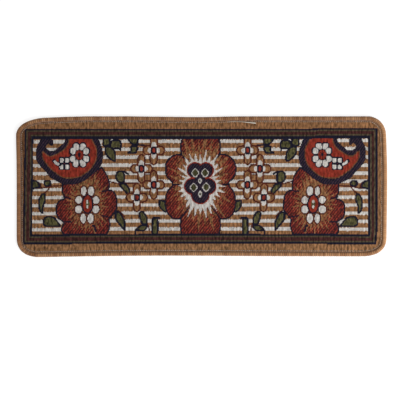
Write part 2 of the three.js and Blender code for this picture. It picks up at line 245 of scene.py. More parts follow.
across = across + 0.45 * np.interp(abs(along), [65, 90], [1, 0]) * np.interp(abs(across), [70, 80], [1, 0])
across = across - 1.5 * np.clip((along - 190) / 20, 0, 1) * np.clip((across - 40) / 40, 0, 1)
across = across - np.clip(-across / 90, 0, 1) * (0.6 - 1.3 * (along / 300) ** 2)
yarn = np.zeros(along.shape, dtype=np.uint8)
level = np.zeros(along.shape)

# Red and plum parts are woven in twill, whose slanting lines are drawn coarser than its threads, to show.
twill = np.modf(along / 4.9 - across / 6.6 + 100)[0]
broad_twill = np.modf((along - across) / 11.2 + 100)[0]


def grain(values, seed=0.0):
    """A repeatable scatter from 0 to 1, one value for each number given."""
    return np.modf(abs(np.sin(values * 12.9898 + seed * 78.233 + 1.0)) * 43758.5453)[0]


def curve_through(points, steps=6):
    """A smooth open line through the points, with its last point."""
    p = np.array(points, float)
    p = np.vstack([2 * p[0] - p[1], p, 2 * p[-1] - p[-2]])
    t = np.linspace(0, 1, steps, endpoint=False)[:, None]
    runs = []
    for a, b, c, d in zip(p, p[1:], p[2:], p[3:]):
        bend = (2 * a - 5 * b + 4 * c - d) * t ** 2 + (3 * b - a - 3 * c + d) * t ** 3
        runs.append(b + 0.5 * ((c - a) * t + bend))
    return np.vstack(runs + [p[-2:-1]])


def outline_of(*runs):
    """A closed outline whose runs are smooth in themselves and meet in corners."""
    return np.vstack([curve_through(run) if len(run) > 2 else np.array(run, float) for run in runs])


def mirrored(points):
    """A shape of the left half, and the same shape in the right half."""
    points = np.array(points, float)
    return points, points * [-1, 1]


def patch_round(points, margin):
    """The samples round some points, as two slices."""
    low = np.min(points, axis=0) - margin
    high = np.max(points, axis=0) + margin
    rows = np.flatnonzero((across[:, 0] > low[1]) & (across[:, 0] < high[1]))
    columns = np.flatnonzero((along[0] > low[0] - MOST_WARP) & (along[0] < high[0] + MOST_WARP))
    return slice(rows[0], rows[-1] + 1), slice(columns[0], columns[-1] + 1)


def depth_in(points, u, v, closed=True):
    """How far each place lies inside an outline, negative outside it or beside an open line."""
    starts = points if closed else points[:-1]
    ends = np.roll(points, -1, axis=0) if closed else points[1:]
    nearest = np.full(u.shape, 1e9)
    inside = np.zeros(u.shape, bool)
    for (ax, ay), (bx, by) in zip(starts, ends):
        dx, dy = bx - ax, by - ay
        size = dx * dx + dy * dy
        if size == 0:
            continue
        t = np.clip(((u - ax) * dx + (v - ay) * dy) / size, 0, 1)
        nearest = np.minimum(nearest, np.hypot(u - ax - t * dx, v - ay - t * dy))
        if closed and dy:
            inside ^= ((ay > v) != (by > v)) & (u < dx * (v - ay) / dy + ax)
    return np.where(inside, nearest, -nearest)


def weave_in(patch, where, name, height):
    """Brings one yarn to the front of the cloth, inside the field, at a height in steps of a yarn's rise."""
    where = where & field[patch]
    yarn[patch][where] = YARN_NAMES.index(name)
    level[patch][where] = height


def weave_shape(points, name, edge, width, height):
    """A filled shape with an outline, in both halves."""
    for half in mirrored(points):
        patch = patch_round(half, 1)
        depth = depth_in(half, along[patch], across[patch])
        weave_in(patch, depth > 0, edge, height - 1)
        weave_in(patch, depth > width, name, height)


def weave_line(points, name, width, height=2):
    """A line of one yarn along a smooth run, in both halves."""
    for half in mirrored(curve_through(points)):
        patch = patch_round(half, width)
        distance = -depth_in(half, along[patch], across[patch], closed=False)
        weave_in(patch, distance < width / 2, name, height)


def both_sides(middle, margin):
    """The samples round a middle in each half, with how far each lies from it, along and across."""
    for half in mirrored([middle]):
        patch = patch_round(half, margin)
        yield patch, along[patch] - half[0][0], across[patch] - half[0][1]


def weave_oval(middle, radii, name, height, edge=None, width=0.0):
    """An oval with an outline round it, in both halves."""
    for patch, du, dv in both_sides(middle, max(radii) + width):
        if edge:
            rim = (du / (radii[0] + width)) ** 2 + (dv / (radii[1] + width)) ** 2
            weave_in(patch, rim < 1, edge, height - 1)
        weave_in(patch, (du / radii[0]) ** 2 + (dv / radii[1]) ** 2 < 1, name, height)


def weave_block(middle, size, corner, name, height):
    """A rectangle with its corners cut off, in both halves: size is its half width and half height."""
    for patch, du, dv in both_sides(middle, max(size)):
        du, dv = abs(du), abs(dv)
        weave_in(patch, (du < size[0]) & (dv < size[1]) & (du + dv < corner), name, height)


# Five narrow bands frame the field, each as wide on a side as the weave came out there: top, bottom, left and
# right. The border outside them is painted darker at the left end, as painted shade, and lighter at the
# right and below, as painted light. Cream stripes cross the tan ground inside them, and droop a little at the
# left.
BANDS = [
    ("navy", 3.3, 3.6, 3.0, 3.5),
    ("olive_band", 2.3, 2.3, 2.5, 2.4),
    ("maroon", 5.2, 6.0, 4.8, 4.4),
    ("olive_band", 2.4, 2.2, 2.2, 2.4),
    ("navy", 4.7, 3.3, 3.0, 3.6),
]
STRIPES = 12
STRIPE_PITCH = 13.95
TOP_STRIPE = 79
STRIPE_HALF_WIDTH = 2.9
top, bottom, left, right = 100.9, -100.9, -309.3, 309.3
field = np.ones(along.shape, dtype=bool)
everywhere = (slice(None), slice(None))
# The border is painted lighter at the right and below, as painted light, and darker at the left end, as
# painted shade.
weave_in(everywhere, (across < bottom) | (along > right), "tan_lit", 0)
weave_in(everywhere, along < left, "tan_shaded", 0)
for name, from_top, from_bottom, from_left, from_right in BANDS:
    inside = (along > left) & (along < right) & (across > bottom) & (across < top)
    yarn[inside] = YARN_NAMES.index(name)
    level[inside] = 1
    top -= from_top
    bottom += from_bottom
    left += from_left
    right -= from_right
field = (along > left) & (along < right) & (across > bottom) & (across < top)
weave_in(everywhere, field, "tan", 0)
droop = 0.9 * np.clip((-along - 150) / 100, 0, 1)
droop = droop + 0.7 * (grain(cell_column, 4) - 0.5)
for number in range(STRIPES):
    off_stripe = abs(across + droop - TOP_STRIPE + STRIPE_PITCH * number)
    weave_in(everywhere, off_stripe < STRIPE_HALF_WIDTH, "cream", 1)

# Thin brown stems run between the leaves.
STEMS = [
    [(-294, -3.2), (-285, -3), (-276, -2.6), (-266, -0.8), (-256, 0.6), (-242, 1.8)],
    [(-283, 7), (-280, 3), (-279, -2)],
    [(-262, 1), (-266, -5), (-270, -9), (-274, -13)],
    [(-160, 76), (-157, 72), (-160, 68)],
    [(-113, 72), (-102, 71.6), (-88, 71.6)],
    [(-160, 8.5), (-152, 7), (-145, 5), (-133, 5.5), (-118, 5.8), (-109, 5.8)],
    [(-148, -42), (-143, -43), (-137, -48), (-133, -54)],
    [(-92, -66), (-91, -71), (-89, -78)],
    [(-85, -72), (-86, -77), (-85, -83)],
    [(-98, 38.4), (-93, 38.6), (-88, 38.2)],
]
for stem in STEMS:
    weave_line(stem, "brown", 2.3)

# The leaves are olive with a navy outline.
LEAVES = [
    [(-296, 12), (-288, 11), (-283, 7), (-280.5, 2), (-281, -2), (-286, -3.5), (-296, -5)],
    [(-275, 2.5), (-274.8, 9), (-271, 11), (-263.5, 10.8), (-261, 6.5), (-261.8, 1.5), (-266, -0.5),
     (-272, -0.3)],
    [(-277.5, -12), (-272, -12.5), (-270, -18), (-270.6, -27), (-273.5, -34), (-274, -46), (-277, -47.8),
     (-280.5, -45), (-283, -39), (-284, -31), (-283.5, -22), (-281, -17)],
    [(-276, -58), (-271.5, -52.5), (-264, -51.2), (-256, -52.8), (-250, -58), (-244.5, -66), (-243, -70.2),
     (-247, -71), (-262, -71), (-270, -70.5), (-275, -67)],
    [(-171.5, 70), (-165, 69), (-158, 73), (-157.5, 80), (-160, 85), (-171.5, 85)],
    [(-159.5, 71), (-157.5, 78), (-154, 82), (-142.5, 82), (-138, 77), (-137.5, 70), (-139.5, 61),
     (-143.5, 65), (-155, 64.5), (-158, 67)],
    [(-168, 68), (-163, 71.5), (-156, 69.5), (-152.5, 67), (-148.3, 60), (-147.2, 46), (-149.5, 43),
     (-154.5, 44), (-160, 48), (-165, 53.5), (-168, 60)],
    [(-127, 80), (-123, 75), (-119, 72.5), (-110, 72), (-108.6, 78), (-109, 85), (-127, 85)],
    [(-124, 69), (-120.5, 72), (-111.5, 71.5), (-108.3, 66), (-110.5, 62), (-113, 57.5), (-127, 57.2),
     (-127.5, 60.8), (-123, 63)],
    [(-149.6, 17), (-148, 10.5), (-144, 6.5), (-138, 5), (-132.5, 8), (-131.6, 17), (-133, 24), (-137, 27.7),
     (-143, 27.7), (-147.5, 24)],
    [(-142.7, 4.5), (-138, 6), (-130, 5), (-126.5, 0.5), (-123.2, -5), (-123.2, -15), (-128, -14.3),
     (-132, -11), (-138, -4.5), (-142, 0.5)],
    [(-149.5, -46), (-144, -43), (-139, -46.5), (-134, -55), (-131, -61), (-130.8, -72), (-131.5, -78),
     (-135.5, -76), (-139, -71.5), (-144.5, -65), (-149.3, -58), (-150.2, -52)],
    [(-108.3, -46), (-105, -43), (-99.5, -43.5), (-95.3, -49), (-92.3, -55), (-92.3, -64), (-94, -68.2),
     (-102.5, -67), (-105.8, -60), (-107.8, -53)],
    [(-113, -74), (-108.5, -70), (-103, -66.7), (-93, -67.5), (-92.5, -72), (-95, -76), (-99, -79.5),
     (-107, -79), (-113, -78)],
    [(-85.2, -56), (-74.2, -56), (-74.2, -85), (-85.2, -85)],
    [(-73.5, -23), (-73.5, -33), (-69, -41), (-61, -46), (-56, -40), (-56, -28), (-62, -24)],
]
for leaf in LEAVES:
    weave_shape(curve_through(leaf + leaf[:1], 4), "olive", "navy", 3.2, 3)

# Short navy stalks hold some of the leaves, and a few slips of tan and cream lie beside them.
weave_line([(-113, -76), (-113.5, -85)], "navy", 2.4)
weave_line([(-137, 26.3), (-132, 25), (-127, 22)], "navy", 3.6)
weave_line([(-82.5, -55.4), (-77, -55.4), (-72, -55.2)], "navy", 3.6)
weave_line([(-113, 72.5), (-105, 72), (-99, 72)], "navy", 2.4)
weave_line([(-254.5, -51.5), (-250, -56.5)], "tan", 1.6)
weave_line([(-250.5, -57), (-243, -65.5)], "cream", 2.2, 4)
weave_line([(-177.8, 81.5), (-175.5, 76), (-173.6, 71.5)], "cream", 2.8, 4)
weave_line([(-88.3, -69), (-86.8, -77)], "cream", 2.0, 3)

# The leaves are flecked with a darker olive.
leaf_fleck = grain(np.floor(along / 1.5) * 3.1 + np.floor(across / 3.5) * 7.7) > 0.6
weave_in(everywhere, (yarn == YARN_NAMES.index("olive")) & leaf_fleck, "olive_dark", 3)

# A paisley hangs in each upper corner: a navy and plum twill round a red body.
PAISLEY = outline_of(
    [(-280.5, 85), (-283, 78), (-287.3, 70), (-289.3, 58), (-288.5, 48), (-285, 41), (-277.5, 32),
     (-270, 24.5), (-263.5, 15.5), (-256, 11.5), (-247, 6.5), (-240, 3.8), (-225, 3.4), (-213, 5),
     (-203, 10.5), (-194, 16.5), (-184, 25), (-177, 32.5), (-172, 41), (-170.5, 55), (-172.5, 68),
     (-179, 85)],
    [(-236.5, 85), (-238, 79), (-241, 74.5), (-247, 69.8), (-252, 66.5), (-255.5, 63), (-264, 62.8),
     (-269, 65.5)],
    [(-271, 69.5), (-266.5, 74.8), (-263, 71.5)],
    [(-258.5, 71.5), (-258.5, 81)],
    [(-262, 82.5), (-262, 85)],
)
PAISLEY_BODY = outline_of(
    [(-275.6, 60), (-275.8, 53), (-273, 45.5), (-268, 39.5), (-261, 31.5), (-252, 24), (-245, 19.3),
     (-238, 16.2), (-225, 15.8), (-214, 17.5), (-206, 21), (-199, 26.5), (-192, 33), (-186.5, 40.5),
     (-183, 50), (-182.2, 58), (-184, 68.5), (-189, 77), (-192.5, 85)],
    [(-229, 85), (-230, 77), (-233, 70), (-239, 63.5), (-246, 58.5), (-254, 54), (-263, 51.5), (-270, 54.5),
     (-275.6, 60)],
)
for outer, body in zip(mirrored(PAISLEY), mirrored(PAISLEY_BODY)):
    patch = patch_round(outer, 1)
    depth = depth_in(outer, along[patch], across[patch])
    weave_in(patch, depth > 0, "navy", 2)
    weave_in(patch, (depth > 1.2) & (twill[patch] < 0.30), "plum", 2)
    depth = depth_in(body, along[patch], across[patch])
    weave_in(patch, depth > -1.8, "tan_dark", 2.5)
    weave_in(patch, depth > 0, "red", 3)
    fleck = grain(np.floor(along[patch] / 1.6) * 5.3 + np.floor(across[patch] / 2.6) * 9.1)
    weave_in(patch, (depth > 0) & (fleck > 0.80), "red_deep", 3)

# Inside each paisley is a ring flower of eight blunt cream petals round a red eye, with four cream squares
# and a slip beside it.
RING_MIDDLE = (-212.0, 55.0)
RING_REACH = 26
RING_PETALS = [
    ((-217.7, 70.2), (4.9, 5.0)),
    ((-206.0, 70.2), (4.9, 5.0)),
    ((-200.0, 61.7), (4.8, 5.5)),
    ((-199.8, 48.1), (4.8, 5.5)),
    ((-205.6, 39.5), (4.9, 5.2)),
    ((-217.8, 39.5), (4.9, 5.2)),
    ((-223.3, 48.1), (4.8, 5.5)),
    ((-223.2, 61.7), (4.8, 5.5)),
]
for patch, du, dv in both_sides(RING_MIDDLE, RING_REACH):
    weave_in(patch, np.hypot(du / 15.0, dv / 18.5) < 1, "navy", 4)
for middle, size in RING_PETALS:
    weave_block(middle, (size[0] + 1.8, size[1] + 1.8), size[0] + size[1], "navy", 4)
for patch, du, dv in both_sides(RING_MIDDLE, RING_REACH):
    turn = np.arctan2(dv / 20, du / 16.5)
    between = abs(np.modf(turn / (np.pi / 4) + 40.5)[0] - 0.5) * (np.pi / 4) * np.hypot(du, dv)
    weave_in(patch, (np.hypot(du / 11.5, dv / 14.5) < 1) & (between > 1.5), "cream", 5)
for middle, size in RING_PETALS:
    weave_block(middle, (size[0] - 0.2, size[1] - 0.2), size[0] + size[1] - 3.2, "cream", 5)
for patch, du, dv in both_sides(RING_MIDDLE, RING_REACH):
    spoke = abs(np.sin(4 * np.arctan2(dv / 8.4, du / 6.8))) * np.hypot(du, dv)
    weave_in(patch, np.hypot(du / 8.2, dv / 9.6) < 1, "navy", 5)
    weave_in(patch, np.hypot(du / 6.9, dv / 8.3) < 1, "red", 5)
    weave_in(patch, (np.hypot(du / 6.9, dv / 8.3) < 1) & (spoke < 1.6), "wine", 5)
    weave_in(patch, np.hypot(du / 2.6, dv / 3.2) < 1, "navy", 6)
SQUARES = [(-242.9, 45.7), (-233.4, 45.7), (-242.9, 34.3), (-233.4, 34.3)]
for middle in SQUARES:
    weave_block(middle, (5.1, 5.8), 9.8, "navy", 3.5)
for middle in SQUARES:
    weave_block(middle, (3.3, 3.5), 5.8, "cream", 4)
weave_line([(-256.5, 44.5), (-252.5, 40.5), (-246.5, 38)], "navy", 6.6, 3.5)
weave_line([(-254.8, 43.2), (-252.3, 40.6), (-248.8, 38.9)], "cream", 4.2, 4)


def rays_round(turn, count, seed, sharp=1.0):
    """Pointed rays round a middle, of uneven length: how far each reaches, 0 to 1."""
    place = turn / (2 * np.pi) * count + 100
    number = np.floor(place)
    beside = 1 - abs(2 * (place - number) - 1)
    return beside ** sharp * (0.35 + 0.65 * grain(number, seed))


def weave_petals(outline, notches, patch, reach, turn, solid, seed):
    """A big flower: tan near its heart, feathered out in fine rays into twilled red lobes.

    Reach and turn are how far each sample lies from the heart, and which way. The tan is solid up to a reach.
    """
    depth = depth_in(outline, along[patch], across[patch])
    inside = depth > 0
    stitch = grain(cell_column[patch] * 4.7 + np.floor(cell_row[patch] / 2) * 8.3, seed)
    slant = np.sin(2 * np.pi * twill[patch]) + 0.5 * np.sin(2 * np.pi * broad_twill[patch])
    weave_in(patch, inside, "wine", 3)
    lit = slant + 1.1 * (stitch - 0.5) > np.where(depth < 10, 0.4, 0)
    weave_in(patch, inside & lit, "red_deep", 3)
    streak = solid + 8 + 20 * rays_round(turn, 76, seed + 5, 1.3)
    weave_in(patch, inside & (reach < streak) & (depth > 4) & (slant > 0.3), "orange", 3)
    flame = solid + 24 * rays_round(turn, 33, seed, 1.5) + 6 * rays_round(turn, 83, seed + 3)
    warm = inside & (reach < flame)
    weave_in(patch, warm, "tan", 3)
    weave_in(patch, warm & (stitch < 0.18), "tan_dark", 3)
    weave_in(patch, warm & (reach > solid - 3) & (stitch > 0.88), "red_deep", 3)
    weave_in(patch, inside & (depth < 2.6), "navy", 2)
    for notch in notches:
        beside = -depth_in(notch, along[patch], across[patch], closed=False)
        weave_in(patch, beside < 1.1, "navy", 2)
    return inside, depth


# A six lobed flower grows below each paisley, which lies over its upper end. It has eight cream petals round
# a red eye.
LOBES = outline_of(
    [(-242.5, 4), (-243, -5), (-242, -13), (-239, -18)],
    [(-239, -20.5), (-247, -24), (-252, -30), (-253.3, -40), (-252, -50), (-248, -57), (-241, -62)],
    [(-239, -63.5), (-242.5, -70), (-242.5, -80), (-238, -85)],
    [(-162, -85), (-159, -77), (-157, -67), (-158.5, -59)],
    [(-155, -54), (-149, -47), (-145.3, -39), (-144.6, -30), (-146, -19), (-149, -11), (-156, -5.5)],
    [(-159.5, -5), (-158.8, 5), (-161, 15), (-165, 24), (-173, 35)],
    [(-190, 24), (-200, 15), (-215, 8), (-235, 8)],
)
LOBE_NOTCHES = [
    [(-240, -18.5), (-228, -21)],
    [(-241, -61), (-226, -62)],
    [(-154, -55), (-164, -53), (-173, -51.3)],
    [(-158, -6.5), (-165, -7.8), (-172, -8.3)],
]
CREAM_PETALS = [
    ((-204.5, -8.2), (4.5, 7.8)),
    ((-191.5, -8.2), (5.4, 7.9)),
    ((-213.0, -23.5), (5.7, 6.4)),
    ((-183.0, -24.0), (5.7, 6.4)),
    ((-213.4, -40.2), (6.1, 6.8)),
    ((-183.2, -40.2), (5.9, 6.8)),
    ((-204.7, -56.0), (4.5, 8.3)),
    ((-191.9, -56.0), (5.2, 8.3)),
]
for side, outline, cover in zip((-1, 1), mirrored(LOBES), mirrored(PAISLEY)):
    patch = patch_round(outline, 1)
    du = (along[patch] - side * 198.5) * -side
    dv = across[patch] + 31.5
    under_yarn = yarn[patch].copy()
    under_level = level[patch].copy()
    turn = np.arctan2(dv / 1.2, du)
    reach = (np.hypot(du / 10.5, dv / np.where(dv < 0, 15.5, 20)) - 1) * 12.5
    weave_petals(outline, [np.array(n, float) * [-side, 1] for n in LOBE_NOTCHES], patch, reach, turn, 12, 2)
    hidden = depth_in(cover, along[patch], across[patch]) > 0
    yarn[patch][hidden] = under_yarn[hidden]
    level[patch][hidden] = under_level[hidden]
for middle, radii in CREAM_PETALS:
    weave_oval(middle, radii, "cream", 5, "brown", 2.2)
weave_oval((-197.6, -30.9), (8.2, 14.6), "red", 6, "navy", 2.6)
weave_oval((-197.6, -30.9), (3.2, 8.0), "olive", 6)
weave_oval((-197.6, -26.8), (1.6, 3.6), "cream", 6)
weave_oval((-197.6, -35.4), (1.6, 3.2), "cream", 6)
weave_line([(-188, -68.5), (-184.5, -71), (-183.2, -79)], "navy", 3.0, 3)

# The great flower in the middle has red lobes, a halo of cream rays and a pansy of five navy rounds.
LEFT_LOBES = outline_of(
    [(-33, 85), (-35.5, 76), (-36, 66), (-34.5, 57.5)],
    [(-35, 57.8), (-44, 57), (-53, 52.3), (-60, 45), (-62.8, 35), (-62.2, 24), (-59, 15.5), (-50, 6.5)],
    [(-51, 1.5), (-58.5, -7), (-62, -18), (-63, -30), (-60.5, -43), (-55, -52), (-46.5, -57.5), (-36, -57.5)],
    [(-35.5, -58), (-36.5, -68), (-35.5, -78), (-33, -85)],
)
MIDDLE_NOTCHES = [
    [(-35, 57.5), (-29, 50.5), (-23, 46.5)],
    [(-50, 3.8), (-38, 3.3)],
    [(-35.5, -57), (-29, -48), (-19.5, -35.8)],
]
PANSY = [(-9.7, 28.5, 12.7), (9.0, 28.5, 12.5), (-14.4, 0.5, 13), (13, 0.5, 13), (-0.5, -14.5, 14.7)]
flower = np.vstack([LEFT_LOBES, (LEFT_LOBES * [-1, 1])[::-1]])
patch = patch_round(flower, 1)
heart = np.full(along[patch].shape, 1e9)
for middle_u, middle_v, radius in PANSY:
    heart = np.minimum(heart, np.hypot(along[patch] - middle_u, across[patch] - middle_v) - radius)
heart = np.minimum(heart, np.hypot(along[patch] + 0.8, (across[patch] - 9) / 1.3) - 10)
turn = np.arctan2(across[patch] - 6, (along[patch] + 0.5) * 1.2)
reach = heart / (1 + 0.75 * np.sin(turn) ** 2)
notches = [half for notch in MIDDLE_NOTCHES for half in mirrored(notch)]
inside, depth = weave_petals(flower, notches, patch, reach, turn, 9, 7)
halo = reach + 1.8 * np.sin(turn) < 3.0 + 14 * rays_round(turn, 30, 11, 1.8) + 3 * rays_round(turn, 77, 4)
weave_in(patch, inside & halo & (depth > 2), "cream", 4)
weave_in(patch, heart < 2, "red", 5)
weave_in(patch, heart < 0, "navy", 5)
weave_in(patch, (heart < -1.5) & (twill[patch] < 0.30), "plum", 5)
PANSY_EYES = [
    ((-9.4, 24), (6.7, 8.1), (5.0, 6.3)),
    ((7.8, 24), (6.8, 8.1), (5.1, 6.3)),
    ((-12.1, -1.4), (6.8, 8.1), (5.1, 6.3)),
    ((9.6, -1.0), (7.0, 8.1), (5.2, 6.3)),
    ((-1.1, 10.2), (3.6, 4.9), (1.6, 2.4)),
    ((-0.8, -12.8), (3.9, 6.2), (1.7, 2.8)),
]
for middle, rim, eye in PANSY_EYES:
    patch = patch_round([middle], 10)
    du = abs(along[patch] - middle[0])
    dv = abs(across[patch] - middle[1])
    weave_in(patch, (du / rim[0]) ** 1.35 + (dv / rim[1]) ** 1.35 < 1, "cream", 6)
    weave_in(patch, (du / eye[0]) ** 1.5 + (dv / eye[1]) ** 1.5 < 1, "olive_dark", 6)

# Four small flowers with four outlined petals stand between the big ones on each side, with a small tan
# square between two of them.
SMALL_FLOWERS = [(-81.9, 63.2), (-103.4, 30.8), (-81.9, 2.9), (-111.4, -19.5)]
UP_PETAL = [(-7, 3), (-7.5, 12), (-7.1, 19), (-4.8, 23.5), (0, 26.3), (4.8, 23.5), (7.1, 19), (7.5, 12),
            (7, 3)]
SIDE_PETAL = [(3, 8.6), (9, 8.9), (15, 8), (18.6, 4.4), (20.2, 0), (18.6, -4.4), (15, -8), (9, -8.9),
              (3, -8.6)]
for u, v in SMALL_FLOWERS:
    for way in (-1, 1):
        weave_shape(curve_through(SIDE_PETAL, 4) * [way, 1] + [u, v], "tan", "brown", 2.6, 3)
        weave_shape(curve_through(UP_PETAL, 4) * [1, way] + [u, v], "tan", "brown", 2.6, 3)
for u, v in SMALL_FLOWERS:
    for way in (-1, 1):
        weave_oval((u, v + way * 7.6), (4.4, 7.2), "cream", 4)
        weave_oval((u + way * 5.6, v), (5.0, 4.8), "cream", 4)
    weave_block((u, v), (5.1, 6.8), 9.6, "navy", 4)
    weave_oval((u, v), (2.6, 4.2), "red", 5)
weave_block((-92.8, 15.0), (6.0, 6.6), 12, "brown", 3)
weave_block((-92.8, 15.0), (3.8, 4.4), 8, "tan", 3)


# The mat's edge is about 1728 mm long, all round. It follows the outermost line of the binding in the frame,
# but its upper side swells out a little between the places where the stitches pull it in. Each pair is a
# place along that side, and how far it swells there.
EDGE_LENGTH = 1728
UPPER_SWELL = [(-300, 0), (-235, 1.4), (-165, 1.5), (-95, 0.2), (-25, 0.1), (44, 1.0), (114, 1.3), (150, 1.3),
               (184, 0.6), (289, 0.8), (315, 0)]


def mat_outline(stations):
    """Evenly spaced points on the mat's edge, in mm, and which way is inward at each."""
    places = np.array([corner.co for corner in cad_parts["edge_binding"].data.vertices]) / MM
    middle = (places[:, 2].min() + places[:, 2].max()) / 2
    nose = np.unique(np.round(places[abs(places[:, 2] - middle) < 0.05][:, :2], 3), axis=0)
    nose = nose[np.argsort(np.arctan2(nose[:, 1], nose[:, 0]))]
    line = curve_through(np.vstack([nose[-1:], nose, nose[:2]]), 12)[12:-12]
    run = np.concatenate([[0], np.cumsum(np.hypot(*np.diff(line, axis=0).T))])
    even = np.arange(stations) / stations * run[-1]
    points = np.column_stack([np.interp(even, run, line[:, 0]), np.interp(even, run, line[:, 1])])
    on_upper_side = points[:, 1] > 60
    swell = np.interp(points[:, 0], *np.transpose(UPPER_SWELL)) * on_upper_side
    points[:, 1] = np.minimum(points[:, 1] + swell, places[:, 1].max())
    ahead = np.roll(points, -2, axis=0) - np.roll(points, 2, axis=0)
    ahead /= np.hypot(*ahead.T)[:, None]
    return points, np.column_stack([-ahead[:, 1], ahead[:, 0]])


def new_grid(name, columns, rows):
    """A flat grid, and the column and row number of each of its corners."""
    bpy.ops.object.select_all(action="DESELECT")
    bpy.ops.mesh.primitive_grid_add(x_subdivisions=columns, y_subdivisions=rows, size=1)
    grid = bpy.context.object
    grid.name = name
    places = np.array([corner.co for corner in grid.data.vertices])
    column = np.round((places[:, 0] + 0.5) * columns).astype(int)
    row = np.round((places[:, 1] + 0.5) * rows).astype(int)
    return grid, column, row


CLOTH_THICKNESS = 2.6
CUT_POINTS = 360
SEAM_INSET = 9.8
SEAM_GROOVE = 0.35
RIB_RISE = 0.08
BACKING_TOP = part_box("anti_slip_backing")[1][2] / MM
FACE_TOP = BACKING_TOP + CLOTH_THICKNESS
face, column, row = new_grid("jacquard_face", CELLS_ALONG, CELLS_ACROSS)
cloth = face.data
x = (column - CELLS_ALONG / 2) * CELL_ALONG
y = (row - CELLS_ACROSS / 2) * CELL_ACROSS
edge_in = depth_in(mat_outline(CUT_POINTS)[0], x, y)
rib = np.cos(2 * np.pi * x / RIB_PITCH) + grain(column, 2.0) - 0.5
groove = np.exp(-((edge_in - SEAM_INSET) / 1.4) ** 2)
framed = np.pad(level, 1, mode="edge")
raised = (framed[:-1, :-1] + framed[1:, :-1] + framed[:-1, 1:] + framed[1:, 1:]) / 4
z = FACE_TOP + raised[row, column] * YARN_RISE + RIB_RISE * rib - SEAM_GROOVE * groove
cloth.vertices.foreach_set("co", (np.column_stack([x, y, z]) * MM).ravel())

# Each stitch is a flat patch of its yarn's colour. The attribute's alpha says how strongly the ribs show.
palette = np.array([linear_colour(code)[:3] + [strength] for code, strength in YARNS.values()])
middles = np.array([polygon.center for polygon in cloth.polygons]) / MM
cell_x = np.floor(middles[:, 0] / CELL_ALONG + CELLS_ALONG / 2).astype(int)
cell_y = np.floor(middles[:, 1] / CELL_ACROSS + CELLS_ACROSS / 2).astype(int)
tint = cloth.color_attributes.new("yarn", "FLOAT_COLOR", "CORNER")
tint.data.foreach_set("color", np.repeat(palette[yarn[cell_y, cell_x]], 4, axis=0).ravel())

# What lies beyond the cut edge is taken off, and the cloth is given its thickness down to the backing.
work = bmesh.new()
work.from_mesh(cloth)
beyond = [f for f in work.faces if min(edge_in[v.index] for v in f.verts) < EDGE_INSET]
bmesh.ops.delete(work, geom=beyond, context="FACES")
rim = [e for e in work.edges if e.is_boundary]
lowered = bmesh.ops.extrude_edge_only(work, edges=rim)["geom"]
for element in lowered:
    if isinstance(element, bmesh.types.BMVert):
        element.co.z = BACKING_TOP * MM
bmesh.ops.contextual_create(work, geom=[e for e in work.edges if e.is_boundary])
bmesh.ops.recalc_face_normals(work, faces=work.faces)
for piece_face in work.faces:
    piece_face.smooth = abs(piece_face.normal.z) > 0.5
work.to_mesh(cloth)
work.free()

# The cloth's own map: its face, its underside, and its cut edge in small tiles above them.
MAP_LENGTH = 660.0
FACE_MIDDLE = 0.2
UNDERSIDE_MIDDLE = 0.6
TILES_START = 0.8
TILES_ALONG = 64
TILES_UP = 200
spread = cloth.uv_layers.new(name="OFBake")
edge_count = 0
for polygon in cloth.polygons:
    side_on = abs(polygon.normal.z) < 0.5
    for turn_of, loop in enumerate(polygon.loop_indices):
        x, y, z = cloth.vertices[cloth.loops[loop].vertex_index].co / MM
        if side_on:
            tile = (edge_count % TILES_ALONG + 0.2 + 0.6 * (turn_of in (1, 2))) / TILES_ALONG
            shelf = TILES_START + (edge_count // TILES_ALONG + 0.2 + 0.6 * (turn_of in (2, 3))) / TILES_UP
            spread.data[loop].uv = (tile, shelf)
        else:
            map_middle = FACE_MIDDLE if polygon.normal.z > 0 else UNDERSIDE_MIDDLE
            spread.data[loop].uv = (0.5 + x / MAP_LENGTH, map_middle + y / MAP_LENGTH)
    edge_count += side_on


def waves(tree, place, pitch, direction):
    """Even bands across a direction, at a pitch in mm."""
    return add_node(tree, "ShaderNodeTexWave", "Fac", {"Vector": place, "Scale": math.pi / (10 * pitch * MM)},
                    bands_direction=direction)


# Wool and cotton, woven and singed: matt and a little fuzzy, with uneven ribs that catch the light. Across
# each rib the colour is painted lighter and darker, partly for the ground showing between the ribs and partly
# as painted shade and highlight. The ribs are drawn coarser than the real threads, because finer ones don't
# show.
wool, tree, shader = new_material("jacquard_wool_and_cotton")
place = add_node(tree, "ShaderNodeTexCoord", "Object", {})
dyed = add_node(tree, "ShaderNodeAttribute", "Color", {}, attribute_name="yarn")
strength = add_node(tree, "ShaderNodeAttribute", "Alpha", {}, attribute_name="yarn")
ribs = waves(tree, place, RIB_PITCH, "X")
picks = waves(tree, place, CELL_ACROSS, "Y")
each_rib = add_node(tree, "ShaderNodeMapping", "Vector", {"Vector": place, "Scale": (330, 115, 0)})
uneven = add_node(tree, "ShaderNodeTexNoise", "Fac", {"Vector": each_rib, "Scale": 1.0, "Detail": 2.0})
fuzz = add_node(tree, "ShaderNodeTexNoise", "Fac", {"Vector": place, "Scale": 420, "Detail": 3.0})
